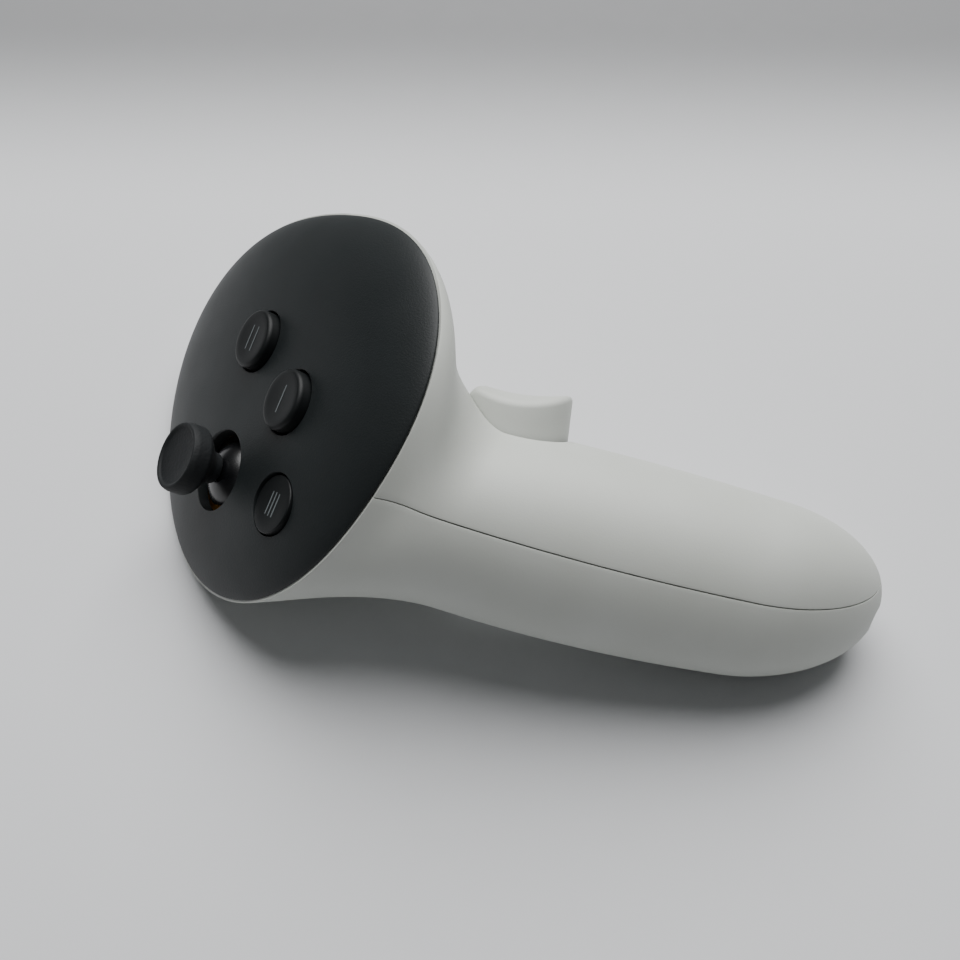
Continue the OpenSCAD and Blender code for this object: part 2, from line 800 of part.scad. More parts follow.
grip_plate_e = [-7.3, -6.1];
module grip_bracket() {
    lie_down() color(inner_grey) difference() {
        on_grip() {
            for (w = grip_ear_w) {
                translate([grip_pivot[0], w, grip_pivot[1]]) rotate([-90, 0, 0])
                    cylinder(r = 2.4, h = grip_ear_t);
                translate([grip_pivot[0] - 2, w, grip_plate_e[0]])
                    cube([4, grip_ear_t, grip_pivot[1] - grip_plate_e[0]]);
            }
            translate([grip_pivot[0] - 2, grip_ear_w[0], grip_plate_e[0]])
                cube([10.4, grip_ear_w[1] + grip_ear_t - grip_ear_w[0], grip_plate_e[1] - grip_plate_e[0]]);
        }
        on_grip_pin() cylinder(r = pin_d / 2 + eps, h = 60, center = true);
    }
}

module grip_pin() {
    lie_down() color(steel) on_grip_pin()
        translate([0, 0, grip_ear_w[0]]) cylinder(d = pin_d, h = grip_ear_w[1] + grip_ear_t - grip_ear_w[0]);
}

module grip_spring() {
    lie_down() color(steel) on_grip_pin() translate([0, 0, -3.1]) rotate([0, 0, 90]) torsion_spring(1.75, 3, 3, 3);
}

module grip_magnet() {
    lie_down() color(steel) on_grip() translate([-5, 0, grip_low]) cylinder(r = magnet_r, h = magnet_t - 0.1);
}

module grip_sensor() {
    lie_down() color(black) on_grip() translate([-7, -2, grip_plate_e[1] + slack / 2]) cube([2.8, 4, 1.3]);
}

// ======== haptic motor ========

haptic_at = [-16.8, -20.3, -15.8];
haptic_size = [12, 10, 6.2];
module haptic_motor() {
    lie_down() color(steel) on_face() translate(haptic_at) cube(haptic_size);
}

// Open rubber frame round the motor
module haptic_cradle() {
    t = 1;
    lie_down() color(black) on_face() difference() {
        translate(haptic_at - [t, t, t]) cube([haptic_size[0] + 2 * t, haptic_size[1] + 2 * t, 4]);
        translate(haptic_at - [slack / 2, slack / 2, slack / 2])
            cube([haptic_size[0] + slack, haptic_size[1] + slack, haptic_size[2] + 1]);
    }
}

face_plate();
left_shell();
right_shell();
battery_door();
strap_eye();
battery_tray();
battery_cell();
contact_plus();
contact_spring();
main_board();
main_chips();
shield_can();
radio_antenna();
board_screws();
button_board();
dome_pad();
x_button();
y_button();
menu_button();
led_ring();
tracking_leds();
thumb_sensor();
stick_case();
stick_yoke();
stick_rocker();
stick_shaft();
stick_cap();
stick_dust_cover();
stick_sensor_x();
stick_sensor_y();
stick_click_switch();
index_trigger();
trigger_bracket();
trigger_pin();
trigger_spring();
trigger_magnet();
trigger_sensor();
grip_button();
grip_bracket();
grip_pin();
grip_spring();
grip_magnet();
grip_sensor();
haptic_motor();
haptic_cradle();
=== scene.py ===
# %% [markdown]
# # A motion controller for VR, for the left hand
# This notebook dresses a finished CAD model. The CAD holds the real sizes and the joints, and
# Blender adds smooth outer pieces, fine edges and materials. Everything shares the CAD's frame.

# %% Load the frame
import bpy
import bmesh
import math
from mathutils import Matrix, Vector, Euler


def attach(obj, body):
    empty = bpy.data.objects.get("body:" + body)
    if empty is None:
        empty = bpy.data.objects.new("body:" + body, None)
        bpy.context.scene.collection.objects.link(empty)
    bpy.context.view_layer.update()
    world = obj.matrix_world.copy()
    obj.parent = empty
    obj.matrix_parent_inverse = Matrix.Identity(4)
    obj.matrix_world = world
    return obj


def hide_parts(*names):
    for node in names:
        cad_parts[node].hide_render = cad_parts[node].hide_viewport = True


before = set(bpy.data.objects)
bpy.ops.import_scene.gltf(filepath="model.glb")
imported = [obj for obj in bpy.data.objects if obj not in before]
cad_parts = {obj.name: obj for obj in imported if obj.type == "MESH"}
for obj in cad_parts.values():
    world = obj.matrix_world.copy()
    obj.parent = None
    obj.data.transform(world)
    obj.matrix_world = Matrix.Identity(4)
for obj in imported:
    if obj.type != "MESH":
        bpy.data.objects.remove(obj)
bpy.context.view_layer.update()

# %% [markdown]
# The camera comes first. It stands above the table and looks steeply down on the controller,
# and a 52.5 mm lens on a 36 mm sensor gives the same mild perspective as a product shot.

# %% Camera
MM = 0.001
camera_data = bpy.data.cameras.new("camera")
camera_data.lens = 52.5
camera_data.sensor_width = 36
camera = bpy.data.objects.new("camera", camera_data)
bpy.context.collection.objects.link(camera)
camera.location = (0.04227, -0.11306, 0.20413)
camera.rotation_euler = [math.radians(t) for t in (33.358, -0.785, 22.054)]
bpy.context.scene.camera = camera
print("camera height above the table:", round(camera.location.z, 3), "m")

# %% [markdown]
# The controller is drawn in the hand's frame, in millimetres: X right, Y forward, Z up the
# handle. The CAD lays it on the table with three turns and a shift, and these are the same ones.

# %% From the hand's frame to the table
TURNS = (-80.5, -32.5, 84.9)
SHIFT = (-35.0003, 0.6481, 24.9141)
lay_down = (Matrix.Scale(MM, 4) @ Matrix.Translation(SHIFT)
            @ Euler([math.radians(t) for t in TURNS]).to_matrix().to_4x4())

FACE_TILT = math.radians(43)
FACE_N = Vector((0, -math.sin(FACE_TILT), math.cos(FACE_TILT)))
FACE_F = Vector((0, math.cos(FACE_TILT), math.sin(FACE_TILT)))
RIGHT = Vector((1, 0, 0))


def on_plane(x, f, h=0.0):
    """A point of the face: x to the right, f towards the front, h above the rim."""
    return RIGHT * x + FACE_F * f + FACE_N * h


on_face = Matrix.Rotation(FACE_TILT, 4, "X")
print("face normal on the table:", [round(c, 3) for c in (lay_down.to_3x3() @ FACE_N).normalized()])

# %% [markdown]
# ## Helpers
# A loft starts from one circle. Each extrude of its edge gives the next ring, which is then put
# in place. That keeps clean quads, which shade smoothly.

# %% Loft and finish helpers


def new_ring(verts, place):
    """Move a ring's vertices: place gives the point for each one's number round the ring."""
    for number, vert in enumerate(verts):
        vert.co = place(number)


def ring_loft(sides, places, cap_first=True, cap_last=True):
    """A bmesh lofted through rings. Each place(i) gives vertex i of its ring."""
    bm = bmesh.new()
    verts = bmesh.ops.create_circle(bm, segments=sides, radius=1.0)["verts"]
    new_ring(verts, places[0])
    if cap_first:
        bmesh.ops.contextual_create(bm, geom=verts)
    for place in places[1:]:
        edges = [bm.edges.get((verts[i], verts[(i + 1) % sides])) for i in range(sides)]
        made = bmesh.ops.extrude_edge_only(bm, edges=edges)["geom"]
        fresh = {g for g in made if isinstance(g, bmesh.types.BMVert)}
        verts = [next(e.other_vert(v) for e in v.link_edges if e.other_vert(v) in fresh)
                 for v in verts]
        new_ring(verts, place)
    if cap_last:
        bmesh.ops.contextual_create(bm, geom=verts)
    bmesh.ops.recalc_face_normals(bm, faces=bm.faces[:])
    return bm


def spun(profile, steps=96):
    """A round piece about Z from (radius, height) points, closed at the axis."""
    bm = bmesh.new()
    verts = [bm.verts.new((r, 0.0, h)) for r, h in profile]
    edges = [bm.edges.new(pair) for pair in zip(verts, verts[1:])]
    bmesh.ops.spin(bm, geom=verts + edges, cent=(0, 0, 0), axis=(0, 0, 1),
                   angle=math.tau, steps=steps, use_merge=True, use_duplicate=False)
    bmesh.ops.remove_doubles(bm, verts=bm.verts[:], dist=1e-4)
    bmesh.ops.recalc_face_normals(bm, faces=bm.faces[:])
    return bm


def rounded(points, radius, steps=4):
    """The same (radius, height) corners with each inner corner turned into a small arc."""
    out = [points[0]]
    for a, b, c in zip(points, points[1:], points[2:]):
        a, b, c = Vector(a), Vector(b), Vector(c)
        cut = min(radius, (a - b).length * 0.45, (c - b).length * 0.45)
        start, end = b + (a - b).normalized() * cut, b + (c - b).normalized() * cut
        for i in range(steps + 1):
            t = i / steps
            out.append(tuple(start * (1 - t) ** 2 + b * 2 * t * (1 - t) + end * t * t))
    return out + [points[-1]]


def make_object(name, bm, smooth_angle=35):
    """A loose object from a bmesh, still in millimetres in the hand's frame."""
    mesh = bpy.data.meshes.new(name)
    bm.to_mesh(mesh)
    bm.free()
    piece = bpy.data.objects.new(name, mesh)
    bpy.context.collection.objects.link(piece)
    shade(piece, smooth_angle)
    return piece


def shade(piece, smooth_angle):
    """Smooth shading, with sharp edges above this angle in degrees."""
    piece.data.shade_smooth()
    piece.data.set_sharp_from_angle(angle=math.radians(smooth_angle))


def carve(piece, cutters, smooth_angle=35):
    """Cut the cutters out of the piece and throw them away."""
    for cutter in cutters:
        cut = piece.modifiers.new("cut", "BOOLEAN")
        cut.operation = "DIFFERENCE"
        cut.solver = "EXACT"
        cut.object = cutter
    depsgraph = bpy.context.evaluated_depsgraph_get()
    mesh = bpy.data.meshes.new_from_object(piece.evaluated_get(depsgraph))
    piece.modifiers.clear()
    piece.data = mesh
    shade(piece, smooth_angle)
    for cutter in cutters:
        bpy.data.objects.remove(cutter)
    print(piece.name, "has", len(mesh.polygons), "faces after", len(cutters), "cuts")


def finish_piece(piece, body, slot, material, *replaced):
    """Lay the piece on the table, in metres, give it its material, put it on its body and hide the CAD
    parts it replaces.
    """
    piece.data.transform(lay_down)
    piece.data.materials.clear()
    piece.data.materials.append(material)
    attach(piece, body)
    if replaced:
        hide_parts(*replaced)


# %% [markdown]
# ## Materials
# Colours are given as sRGB hex values, as a designer would read them off a swatch, and one
# function turns them to the linear values that a renderer adds up. One small function adds a
# node with its settings and its links.

# %% Material helpers


def linear(hex_colour):
    """A hex colour such as "#c8cbc4" as linear red, green, blue and alpha."""
    parts = [int(hex_colour[i:i + 2], 16) / 255 for i in (1, 3, 5)]
    return tuple(c / 12.92 if c <= 0.04045 else ((c + 0.055) / 1.055) ** 2.4 for c in parts) + (1,)


def add_node(tree, kind, settings=None, **links):
    """Add a node. settings fill its options or its inputs, by name or number; links feed inputs."""
    node = tree.nodes.new(kind)
    for key, value in (settings or {}).items():
        if isinstance(key, str) and hasattr(node, key):
            setattr(node, key, value)
        else:
            node.inputs[key].default_value = value
    for key, source in links.items():
        tree.links.new(source, node.inputs[key.replace("_", " ")])
    return node


def start_material(name, roughness, **shader_values):
    """A new material with its shader, and object coordinates in metres."""
    material = bpy.data.materials.new(name)
    material.use_nodes = True
    tree = material.node_tree
    shader = tree.nodes["Principled BSDF"]
    shader.inputs["Roughness"].default_value = roughness
    for key, value in shader_values.items():
        shader.inputs[key.replace("_", " ")].default_value = value
    place = add_node(tree, "ShaderNodeTexCoord").outputs["Object"]
    return material, tree, shader, place


def mottle(tree, place, size_mm, low, high):
    """Soft patches about size_mm across that drift between two close colours."""
    noise = add_node(tree, "ShaderNodeTexNoise", {"Scale": 1000 / size_mm, "Detail": 3.0}, Vector=place)
    ramp = add_node(tree, "ShaderNodeValToRGB", Fac=noise.outputs["Fac"])
    ramp.color_ramp.elements[0].position = 0.3
    ramp.color_ramp.elements[1].position = 0.7
    ramp.color_ramp.elements[0].color = linear(low)
    ramp.color_ramp.elements[1].color = linear(high)
    return ramp.outputs["Color"]


def grain(tree, place, size_mm, depth_mm, strength, detail=2.0):
    """A bump of grains about size_mm across and depth_mm deep."""
    noise = add_node(tree, "ShaderNodeTexNoise", {"Scale": 1000 / size_mm, "Detail": detail,
                                                  "Roughness": 0.6}, Vector=place)
    bump = add_node(tree, "ShaderNodeBump", {"Strength": strength, "Distance": depth_mm * MM},
                    Height=noise.outputs["Fac"])
    return bump.outputs["Normal"]


def moulded(name, low, high, roughness, grain_mm, depth_mm, strength, patch_mm=14, **shader_values):
    """Moulded plastic or rubber: close mottled colour, fine grain, slightly uneven gloss."""
    material, tree, shader, place = start_material(name, roughness, **shader_values)
    tree.links.new(mottle(tree, place, patch_mm, low, high), shader.inputs["Base Color"])
    tree.links.new(grain(tree, place, grain_mm, depth_mm, strength), shader.inputs["Normal"])
    gloss = add_node(tree, "ShaderNodeTexNoise", {"Scale": 1000 / 6, "Detail": 4.0}, Vector=place)
    limits = {"To Min": roughness - 0.04, "To Max": roughness + 0.05}
    spread = add_node(tree, "ShaderNodeMapRange", limits, Value=gloss.outputs["Fac"])
    tree.links.new(spread.outputs["Result"], shader.inputs["Roughness"])
    return material


# %% [markdown]
# The two body halves are ABS, moulded against a spark-eroded tool. That leaves a fine, even
# texture of about a fifth of a millimetre, and a soft, wide highlight. The face plate, the
# keys and the stick are the same process in charcoal.

# %% The materials of the outside
shell_abs = moulded("off_white_textured_abs", "#c8cbc4", "#cdd0ca", 0.5, 0.28, 0.03, 0.55, IOR=1.53)
face_abs = moulded("charcoal_textured_abs", "#131819", "#171c1d", 0.5, 0.3, 0.045, 0.7,
                   Specular_IOR_Level=0.4)
key_abs = moulded("charcoal_key_abs", "#0b0e0f", "#0f1213", 0.48, 0.25, 0.02, 0.45,
                  Specular_IOR_Level=0.28)
mark_ink = moulded("grey_pad_print", "#5e6466", "#686e70", 0.55, 0.2, 0.005, 0.3)
stick_tpe = moulded("charcoal_grained_elastomer", "#101315", "#16191b", 0.65, 0.5, 0.07, 1.0,
                    Specular_IOR_Level=0.35)
cover_pc = moulded("black_satin_polycarbonate", "#090a0c", "#0d0e10", 0.28, 0.4, 0.01, 0.3, IOR=1.58)
print("materials so far:", len(bpy.data.materials))

# %% [markdown]
# ## The body's skin
# The skin is one smooth tube. From the egg-shaped rim it flares down to the neck, goes on as
# three ovals along the handle, and closes in a rounded tail. The numbers are the CAD's own.

# %% The skin as a function
PLATE_W, PLATE_L, CROWN = 64.8, 74.4, 4.5
NECK_DROP, HANDLE_L, TAIL_L, WALL = 36.4, 42.5, 21.0, 2.0
RIM_GAP = 0.25
SECTION_X, SECTION_Y = (-5.9, -2.8, 0.65), (-7.1, -4.8, -0.5)
SECTION_RX, SECTION_RY = (14.9, 15.3, 14.45), (16.0, 14.5, 13.45)


def curve3(v, t):
    """The smooth curve through three values, at t = 0, 0.5 and 1."""
    return v[0] * (1 - t) * (1 - 2 * t) + v[1] * 4 * t * (1 - t) + v[2] * t * (2 * t - 1)


def slope3(v, t):
    """The slope of that curve at t."""
    return v[0] * (4 * t - 3) + v[1] * (4 - 8 * t) + v[2] * (4 * t - 1)


def rim_flat(a):
    """The egg-shaped rim at angle a: how far to the right, and how far to the front."""
    egg = 1 - 0.042 * math.cos(3 * a) - 0.025 * math.sin(3 * a) - 0.006 * math.cos(4 * a)
    return egg * PLATE_W / 2 * math.cos(a), egg * PLATE_L / 2 * math.sin(a)


def section(t, a, shrink=1.0, t_radius=None):
    """A point of the handle's oval at t, from 0 at the neck to 1 at the tail's start."""
    tr = t if t_radius is None else t_radius
    return Vector((curve3(SECTION_X, t) + curve3(SECTION_RX, tr) * shrink * math.cos(a),
                   curve3(SECTION_Y, t) + curve3(SECTION_RY, tr) * shrink * math.sin(a),
                   -NECK_DROP - HANDLE_L * t))


def skin(u, a):
    """The skin at u = 0 for the rim, 1 for the neck, 2 for the tail's start, 3 for its tip."""
    if u < 1:
        out = RIGHT * math.cos(a) + FACE_F * math.sin(a)
        start = 19.8 * (-0.783 * FACE_N - (0.455 + 0.6 * math.sin(a) - 0.037 * math.cos(a)) * out
                        - 0.166 * FACE_F)
        end = 24.9 / HANDLE_L * Vector((
            slope3(SECTION_X, 0) + slope3(SECTION_RX, 0) * math.cos(a),
            slope3(SECTION_Y, 0) + slope3(SECTION_RY, 0) * math.sin(a), -HANDLE_L))
        return ((2 * u**3 - 3 * u**2 + 1) * on_plane(*rim_flat(a), -RIM_GAP)
                + (u**3 - 2 * u**2 + u) * start + (3 * u**2 - 2 * u**3) * section(0, a)
                + (u**3 - u**2) * end)
    if u < 2:
        return section(u - 1, a)
    w = (u - 2) * math.pi / 2
    s = TAIL_L * math.sin(w) / HANDLE_L
    return section(1 + s, a, max(math.cos(w), 0.0) ** 0.9, 1 + s / 2)


def skin_out(u, a):
    """The outward direction of the skin."""
    e = 0.004
    along = skin(u + e, a) - skin(max(u - e, 0.0), a)
    around = skin(u, a + 0.02) - skin(u, a - 0.02)
    return along.cross(around).normalized()


STOPS = ([i / 46 for i in range(46)] + [1 + i / 40 for i in range(40)]
         + [2 + 0.992 * math.sin(i / 34 * math.pi / 2) for i in range(35)])
print("neck width:", round(2 * section(0, 0).x + 2 * 5.9, 1), "mm")

# %% [markdown]
# The two halves meet in a plane that runs down the handle. Cutting a finished skin there would
# leave slivers along the cut, and a bevel needs clean quads. So each half is a grid whose first
# and last columns run along the seam, a hair back from it for the dark line between the halves.
# Solidify then gives the wall, and a bevel rounds the edge that catches the light.

# %% The two halves of the skin
SEAM_POINT = Vector((5.1, -4.8, 0))
SEAM_ANGLE = math.radians(-33)
SEAM_N = Matrix.Rotation(SEAM_ANGLE, 3, "Z") @ Vector((1, 0, 0))
SEAM_GAP = 0.1


def past_seam(u, a):
    """How far the skin at u, a lies on the upper side of the seam's plane."""
    return (skin(u, a) - SEAM_POINT).dot(SEAM_N)


def seam_angle(u, side, way):
    """The angle where ring u crosses the seam, clockwise or anticlockwise from its far side."""
    inside, outside = SEAM_ANGLE, SEAM_ANGLE + way * math.pi
    if past_seam(u, inside) < side * SEAM_GAP:
        return inside
    for _ in range(40):
        middle = (inside + outside) / 2
        if past_seam(u, middle) > side * SEAM_GAP:
            inside = middle
        else:
            outside = middle
    return inside


def sheet(columns, stops, point):
    """A quad sheet: point(u, k) for each stop u, with k from 0 to 1 across the columns."""
    bm = bmesh.new()
    rows = len(stops) - 1
    bmesh.ops.create_grid(bm, x_segments=columns, y_segments=rows, size=1.0)
    for v in bm.verts:
        k, row = (v.co.x + 1) / 2, round((v.co.y + 1) / 2 * rows)
        v.co = point(stops[row], k)
    bmesh.ops.remove_doubles(bm, verts=bm.verts[:], dist=2e-3)
    face_out(bm)
    return bm


def face_out(bm):
    """Turn every face of an open, bowl-like sheet to its outer side."""
    bmesh.ops.recalc_face_normals(bm, faces=bm.faces[:])
    middle = sum((v.co for v in bm.verts), Vector()) / len(bm.verts)
    if sum((f.calc_center_median() - middle).dot(f.normal) for f in bm.faces) < 0:
        bmesh.ops.reverse_faces(bm, faces=bm.faces[:])


def thicken(bm, wall, edge_round, steps=3):
    """Give a sheet a wall on its inner side and round the outer edge of every border."""
    known = {tuple(round(c, 3) for c in v.co) for e in bm.edges if e.is_boundary for v in e.verts}
    bmesh.ops.solidify(bm, geom=bm.faces[:], thickness=wall)
    bmesh.ops.recalc_face_normals(bm, faces=bm.faces[:])
    rim = [e for e in bm.edges if e.calc_face_angle(0) > 0.6
           and all(tuple(round(c, 3) for c in v.co) in known for v in e.verts)]
    for v in bm.verts:
        above = v.co.dot(FACE_N) + RIM_GAP
        if above > 0:
            v.co -= FACE_N * above
    bmesh.ops.bevel(bm, geom=rim, offset=edge_round, offset_type="OFFSET", segments=steps,
                    profile=0.5, affect="EDGES", material=-1, clamp_overlap=True)


def last_crossing(side):
    """The stop where the seam closes on itself near the tail's tip."""
    low, high = 2.0, 3.0
    for _ in range(40):
        middle = (low + high) / 2
        if past_seam(middle, SEAM_ANGLE) > side * SEAM_GAP:
            low = middle
        else:
            high = middle
    return low


def half_skin(side):
    """One shell as a closed wall: side -1 is the lower half, 1 the upper half."""
    apex = last_crossing(side)
    near = [2 + (apex - 2) * math.sin(math.pi / 2 * i / 40) for i in range(41)]
    tip = [apex + (2.995 - apex) * math.sin(math.pi / 2 * i / 16) for i in range(1, 17)]
    stops = [u for u in STOPS if u < 2] + near + (tip if side < 0 else [])

    def point(u, k):
        first, last = seam_angle(u, side, -1), seam_angle(u, side, 1)
        if side < 0:
            first, last = last, first + math.tau
        return skin(u, first + (last - first) * k)
    bm = sheet(104 if side < 0 else 72, stops, point)
    if side < 0:
        bmesh.ops.holes_fill(bm, edges=[e for e in bm.edges if e.is_boundary and all(
            v.co.z < skin(2.99, 0).z + 0.02 for v in e.verts)], sides=0)
        face_out(bm)
    thicken(bm, WALL, 0.2)
    return bm


shell_lower = make_object("shell_lower", half_skin(-1), 50)
shell_upper = make_object("shell_upper", half_skin(1), 50)
print("faces:", len(shell_lower.data.polygons), len(shell_upper.data.polygons))

# %% [markdown]
# The openings are cut with blocks: a window for the trigger, the lens-shaped opening of the
# grip button, the battery opening and the strap's hole through the tail.

# %% Openings in the shells
GRIP_PLACE = (Matrix.Translation((9, -4.5, -36.5)) @ Matrix.Rotation(math.radians(73.7), 4, "Y"))
GRIP_L, GRIP_HALF_W, GRIP_ARC = 17.2, 8.4, 11.0


def block(name, low, high, place=Matrix.Identity(4)):
    """A box between two corners, put in place."""
    bm = bmesh.new()
    bmesh.ops.create_cube(bm, size=1.0)
    size = Vector(high) - Vector(low)
    bmesh.ops.scale(bm, vec=size, verts=bm.verts[:])
    bmesh.ops.translate(bm, vec=(Vector(high) + Vector(low)) / 2, verts=bm.verts[:])
    bmesh.ops.transform(bm, matrix=place, verts=bm.verts[:])
    return make_object(name, bm)


def lens(i, sides, grow=0.0, shift=0.0, scale=1.0):
    """Point i round the grip's outline: two arcs cut square at the ends, in its own plane."""
    a = i * math.tau / sides
    c, s = math.cos(a), math.sin(a)
    off = GRIP_ARC - GRIP_HALF_W
    r_arc = -off * abs(s) + math.sqrt(max((GRIP_ARC + grow) ** 2 - (off * c) ** 2, 0))
    r_end = (GRIP_L / 2 + grow) / max(abs(c), 1e-6)
    k = 9
    r = (r_arc ** -k + r_end ** -k) ** (-1 / k)
    return Vector((r * c * scale + shift, r * s * scale, 0))


def grip_cutter():
    """The opening round the grip key, with room for its travel."""
    def ring(h):
        return lambda i: GRIP_PLACE @ (lens(i, 96, grow=0.42, shift=0.3) + Vector((0, 0, h)))
    return make_object("grip_cutter", ring_loft(96, [ring(-6), ring(10)]))


HANDLE_START = Vector((SECTION_X[0], SECTION_Y[0], -NECK_DROP))
HANDLE_DIR = Vector((SECTION_X[2] - SECTION_X[0], SECTION_Y[2] - SECTION_Y[0], -HANDLE_L)).normalized()
lean_x = math.asin(HANDLE_DIR.y)
lean_y = -math.asin(HANDLE_DIR.x / math.cos(lean_x))
ON_HANDLE = (Matrix.Translation(HANDLE_START) @ Euler((lean_x, lean_y, 0)).to_matrix().to_4x4()
             @ Matrix.Rotation(math.radians(115), 4, "Z"))
DOOR_W, DOOR_TOP, DOOR_END = 9.5, 0.8, -51.2
DOOR_GAP, DOOR_SINK = 0.3, 0.12
EYE_PLACE = Matrix.Translation((4, 8.8, -94)) @ Matrix.Rotation(math.radians(-45.6), 4, "X")


def rod(name, radius, length, place):
    """A round bar along Z, centred and put in place."""
    bm = spun([(0, -length / 2), (radius, -length / 2), (radius, length / 2), (0, length / 2)], 48)
    bmesh.ops.transform(bm, matrix=place, verts=bm.verts[:])
    return make_object(name, bm)


def door_cut():
    """The opening of the battery door, in the handle's own frame."""
    return block("door_cutter", (3, -DOOR_W, DOOR_END), (23, DOOR_W, DOOR_TOP), ON_HANDLE)


def window_cut():
    """The trigger's window in the front of the body."""
    return block("window", (-7.4, 7, -21.8), (8.4, 32, 7.2))


def strap_cut():
    """The clearance hole through the tail for the strap's bushing."""
    return rod("strap_hole", 2.0, 30, EYE_PLACE)


carve(shell_lower, [window_cut(), door_cut(), grip_cutter(), strap_cut()], 50)
carve(shell_upper, [window_cut(), grip_cutter(), strap_cut()], 50)
finish_piece(shell_lower, "casing", "shell_plastic", shell_abs, "left_shell")
finish_piece(shell_upper, "casing", "shell_plastic", shell_abs, "right_shell")

# %% [markdown]
# ## Battery door
# The door is a patch of the same skin, a hair lower, so its surface runs on from the shell's.
# Each corner of its grid is a place across and along the door, and a few Newton steps find the
# point of the skin there.

# %% Battery door
OFF_HANDLE = ON_HANDLE.inverted()


def on_skin(across, along):
    """The skin's u and angle where the handle's own frame has these two coordinates."""
    u, a, e = 1.0 + (-along) / HANDLE_L, math.radians(115), 1e-3

    def miss(u, a):
        p = OFF_HANDLE @ skin(u, a)
        return Vector((p.y - across, p.z - along))
    for _ in range(7):
        r = miss(u, a)
        du, da = (miss(u + e, a) - r) / e, (miss(u, a + e) - r) / e
        det = du.x * da.y - du.y * da.x
        u -= (r.x * da.y - r.y * da.x) / det
        a -= (du.x * r.y - du.y * r.x) / det
    return u, a


def door_point(row, k):
    """The door's surface at row along it and k across it, both from 0 to 1."""
    along = DOOR_END + DOOR_GAP + (DOOR_TOP - DOOR_END - 2 * DOOR_GAP) * row
    u, a = on_skin((DOOR_W - DOOR_GAP) * (2 * k - 1), along)
    return skin(u, a) - skin_out(u, a) * DOOR_SINK


door = sheet(30, [i / 72 for i in range(73)], door_point)
thicken(door, WALL - 0.15, 0.25)
battery_door = make_object("battery_cover", door, 50)
finish_piece(battery_door, "door", "shell_plastic", shell_abs, "battery_door")

# %% [markdown]
# ## Face plate
# The plate is a shallow dome that rolls off near its edge. It is lofted in egg-shaped rings
# from the middle out, round its lip, and back underneath. Each hole is cut with a spun
# cutter that flares at the top, which leaves a small rounded edge around the hole.

# %% Face plate
X_AT, Y_AT, MENU_AT, STICK_AT = (-0.6, -10.6), (6.1, 5.3), (-15.5, -16.1), (-15.4, 2.4)
PLATE_T, EDGE_IN = 2.0, 0.35


def plate_top(s):
    """The dome's height above the rim, s being 0 at the middle and 1 at the edge."""
    return CROWN * max(1 - s ** 3.2, 0.0) ** 0.72


def face_height(x, f):
    """The dome's height above the rim at a place on the face."""
    a = math.atan2(f / PLATE_L, x / PLATE_W)
    return plate_top(math.hypot(x, f) / math.hypot(*rim_flat(a)))


def plate_ring(s, h, inset=0.0):
    """A ring of the plate at s of the way to the rim, h above the rim."""
    def place(i):
        x, f = rim_flat(i * math.tau / 192)
        k = s * (1 - (EDGE_IN + inset) / math.hypot(x, f))
        return on_plane(x * k, f * k, h)
    return place


top_stops = [math.sin(math.pi / 2 * i / 40) for i in range(1, 41)]
rings = [plate_ring(s, plate_top(s)) for s in top_stops]
rings += [plate_ring(1, -0.12, 0.02), plate_ring(1, -0.25, 0.15), plate_ring(0.9, -0.25)]
rings += [plate_ring(0.9 * s, plate_top(0.9 * s) - PLATE_T) for s in (0.97, 0.9, 0.8, 0.65, 0.45, 0.2)]
face_plate = make_object("face_cover", ring_loft(192, rings), 40)


def hole_cutter(at, radius, flare=0.35):
    """A spun cutter whose wall turns outward in a quarter circle at the plate's surface."""
    x, f = at
    top = face_height(x, f)
    step = 0.5
    tilt_x = (face_height(x + step, f) - face_height(x - step, f)) / (2 * step)
    tilt_f = (face_height(x, f + step) - face_height(x, f - step)) / (2 * step)
    arc = []
    for t in range(9):
        turn = t * math.pi / 16
        arc.append((radius + flare * (1 - math.cos(turn)), top - flare + flare * math.sin(turn)))
    bm = spun([(0, -4)] + [(radius, -4)] + arc + [(radius + flare, top + 4), (0, top + 4)], 96)
    for v in bm.verts:
        if v.co.z > 0:
            v.co.z += tilt_x * v.co.x + tilt_f * v.co.y
    bmesh.ops.transform(bm, matrix=on_face @ Matrix.Translation((x, f, 0)), verts=bm.verts[:])
    return make_object("hole", bm)


KEY_GAP, KEY_R, MENU_R, SOCKET_R = 0.3, 4.9, 4.6, 6.6
carve(face_plate, [hole_cutter(X_AT, KEY_R + KEY_GAP), hole_cutter(Y_AT, KEY_R + KEY_GAP),
                   hole_cutter(MENU_AT, MENU_R + KEY_GAP, 0.2), hole_cutter(STICK_AT, SOCKET_R, 0.5)], 40)
finish_piece(face_plate, "casing", "face_plastic", face_abs, "face_plate")

# %% [markdown]
# ## Keys
# Two keys stand proud of the plate with a rounded edge and a very slight dish. The menu key is
# flush, so its top follows the dome. The marks are plain bars, printed on top.

# %% Keys and their marks


def key_piece(name, at, radius, rise, edge):
    """A spun key with a flange under the plate, a rounded edge and a slight dish."""
    x, f = at
    top = face_height(x, f) + rise
    low = face_height(*[c * (1 + (radius + 1) / math.hypot(x, f)) for c in at]) - PLATE_T - 0.5
    dish = [(radius * k, top - 0.14 * (1 - k * k / 0.6)) for k in (0.2, 0.4, 0.6, 0.72)]
    profile = [(0, low - 0.8), (radius + 0.8, low - 0.8), (radius + 0.8, low), (radius, low),
               (radius, top - edge)]
    turns = [t * math.pi / 12 for t in range(1, 7)]
    arc = [(radius - edge + edge * math.cos(t), top - edge + edge * math.sin(t)) for t in turns]
    bm = spun(profile + arc + dish[::-1] + [(0, top - 0.14)], 96)
    bmesh.ops.transform(bm, matrix=on_face @ Matrix.Translation((x, f, 0)), verts=bm.verts[:])
    return make_object(name, bm, 40)


